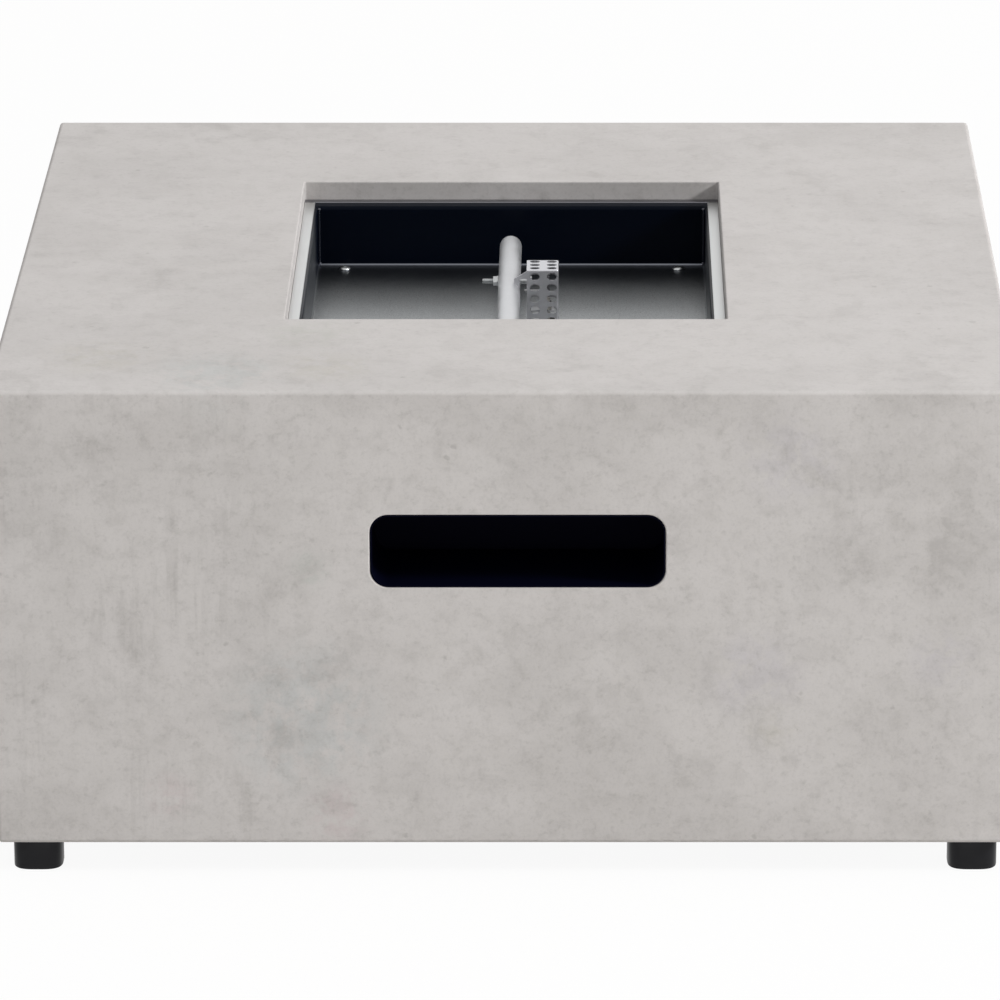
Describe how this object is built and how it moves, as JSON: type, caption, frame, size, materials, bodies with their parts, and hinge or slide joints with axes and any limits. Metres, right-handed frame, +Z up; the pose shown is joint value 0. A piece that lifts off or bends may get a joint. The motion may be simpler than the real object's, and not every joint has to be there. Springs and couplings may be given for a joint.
{
  "type": "fire pit table",
  "caption": "Low square fire pit table: a cast concrete shell on levelling feet, with a drop-in burner pan, tube burner, ignition guard, slots and recessed gas controls.",
  "frame": {"origin": "on the floor, under the middle of the table", "axes": "+Z up; the wall with the visible slot looks along -Y; +X to the right seen from there"},
  "size_m": [0.9144, 0.9144, 0.4566],
  "materials": {
    "cast_concrete": "cast concrete, lightly rubbed, matt sealer",
    "black_coated_steel": "black powder coat, satin",
    "black_enamel": "high temperature black, satin",
    "trim_stainless": "brushed stainless strip",
    "burner_stainless": "bead blasted stainless",
    "zinc_steel": "zinc plated",
    "black_screws": "black oxide",
    "pipe_steel": "turned steel pipe",
    "mixer_casting": "die cast",
    "shutter_steel": "plated sleeve",
    "brass_fitting": "turned brass",
    "stem_steel": "ground steel",
    "spring_steel": "spring wire",
    "knob_black": "moulded, fine grain",
    "button_red": "moulded, gloss",
    "white_ceramic": "glazed alumina",
    "foot_rubber": "ribbed, moulded",
    "black_rubber": "soft, matt",
    "copper_lead": "drawn copper capillary"
  },
  "bodies": {
    "table": {"concrete_shell": "cast_concrete", "slot_liner_front": "black_coated_steel", "slot_liner_rear": "black_coated_steel", "control_box": "black_coated_steel", "burner_pan": "black_enamel", "trim_frame": "trim_stainless", "burner_tube": "burner_stainless", "burner_support_front": "burner_stainless", "burner_support_rear": "burner_stainless", "ignition_guard": "burner_stainless", "probe_bracket": "burner_stainless", "pan_strap_front": "zinc_steel", "pan_strap_rear": "zinc_steel", "strap_nuts": "zinc_steel", "hanger_bolts": "zinc_steel", "plate_bolts": "zinc_steel", "foot_plate_front_left": "zinc_steel", "foot_plate_front_right": "zinc_steel", "foot_plate_rear_right": "zinc_steel", "foot_plate_rear_left": "zinc_steel", "foot_nuts": "zinc_steel", "guard_bolt": "zinc_steel", "guard_nut": "zinc_steel", "guard_washer": "zinc_steel", "pan_screws": "zinc_steel", "inlet_locknuts": "zinc_steel", "igniter_nut": "zinc_steel", "liner_screws": "black_screws", "inlet_nipple": "pipe_steel", "venturi_mixer": "mixer_casting", "gas_valve_body": "mixer_casting", "orifice_fitting": "brass_fitting", "gas_inlet_fitting": "brass_fitting", "flare_nuts": "brass_fitting", "small_inserts": "brass_fitting", "large_inserts": "brass_fitting", "valve_panel_nut": "brass_fitting", "electrode_rod": "stem_steel", "thermocouple": "stem_steel", "valve_spring": "spring_steel", "button_spring": "spring_steel", "igniter_body": "knob_black", "electrode_insulator": "white_ceramic", "pan_grommets": "black_rubber", "ignition_wire": "black_rubber", "gas_line": "black_rubber", "thermocouple_lead": "copper_lead"},
    "valve_plug": {"valve_plug": "brass_fitting"},
    "control_knob": {"control_knob": "knob_black", "valve_stem": "stem_steel"},
    "igniter_button": {"igniter_button": "button_red"},
    "air_shutter": {"air_shutter": "shutter_steel"},
    "foot_pad_front_left": {"foot_pad_front_left": "foot_rubber"},
    "foot_stud_front_left": {"foot_stud_front_left": "zinc_steel"},
    "foot_pad_front_right": {"foot_pad_front_right": "foot_rubber"},
    "foot_stud_front_right": {"foot_stud_front_right": "zinc_steel"},
    "foot_pad_rear_right": {"foot_pad_rear_right": "foot_rubber"},
    "foot_stud_rear_right": {"foot_stud_rear_right": "zinc_steel"},
    "foot_pad_rear_left": {"foot_pad_rear_left": "foot_rubber"},
    "foot_stud_rear_left": {"foot_stud_rear_left": "zinc_steel"}
  },
  "joints": [
    {"name": "valve_turn", "type": "hinge", "parent": "table", "child": "valve_plug", "pos_m": [0.3872, -0.042, 0.30785], "axis": [1, 0, 0], "range_deg": [0, 180]},
    {"name": "knob_push", "type": "slide", "parent": "valve_plug", "child": "control_knob", "axis": [1, 0, 0], "range_m": [-0.004, 0], "stiffness_N_per_m": 800, "springref_m": 0.006, "deforming": ["valve_spring"]},
    {"name": "igniter_push", "type": "slide", "parent": "table", "child": "igniter_button", "axis": [1, 0, 0], "range_m": [-0.006, 0], "stiffness_N_per_m": 500, "springref_m": 0.004, "deforming": ["button_spring"]},
    {"name": "shutter_turn", "type": "hinge", "parent": "table", "child": "air_shutter", "pos_m": [0, 0, 0.30365], "axis": [0, 0, 1], "range_deg": [0, 90]},
    {"name": "foot_front_left_travel", "type": "slide", "parent": "table", "child": "foot_pad_front_left", "axis": [0, 0, 1], "range_m": [-0.012, 0]},
    {"name": "foot_front_left_turn", "type": "hinge", "parent": "foot_pad_front_left", "child": "foot_stud_front_left", "pos_m": [-0.423, -0.423, 0.034], "axis": [0, 0, 1], "range_deg": [-2890, 10]},
    {"name": "foot_front_right_travel", "type": "slide", "parent": "table", "child": "foot_pad_front_right", "axis": [0, 0, 1], "range_m": [-0.012, 0]},
    {"name": "foot_front_right_turn", "type": "hinge", "parent": "foot_pad_front_right", "child": "foot_stud_front_right", "pos_m": [0.423, -0.423, 0.034], "axis": [0, 0, 1], "range_deg": [-2890, 10]},
    {"name": "foot_rear_right_travel", "type": "slide", "parent": "table", "child": "foot_pad_rear_right", "axis": [0, 0, 1], "range_m": [-0.012, 0]},
    {"name": "foot_rear_right_turn", "type": "hinge", "parent": "foot_pad_rear_right", "child": "foot_stud_rear_right", "pos_m": [0.423, 0.423, 0.034], "axis": [0, 0, 1], "range_deg": [-2890, 10]},
    {"name": "foot_rear_left_travel", "type": "slide", "parent": "table", "child": "foot_pad_rear_left", "axis": [0, 0, 1], "range_m": [-0.012, 0]},
    {"name": "foot_rear_left_turn", "type": "hinge", "parent": "foot_pad_rear_left", "child": "foot_stud_rear_left", "pos_m": [-0.423, 0.423, 0.034], "axis": [0, 0, 1], "range_deg": [-2890, 10]}
  ],
  "couplings": [
    {"joint": "foot_front_left_turn", "follows": "foot_front_left_travel", "rad_per_m": 4188.8},
    {"joint": "foot_front_right_turn", "follows": "foot_front_right_travel", "rad_per_m": 4188.8},
    {"joint": "foot_rear_right_turn", "follows": "foot_rear_right_travel", "rad_per_m": 4188.8},
    {"joint": "foot_rear_left_turn", "follows": "foot_rear_left_travel", "rad_per_m": 4188.8}
  ]
}
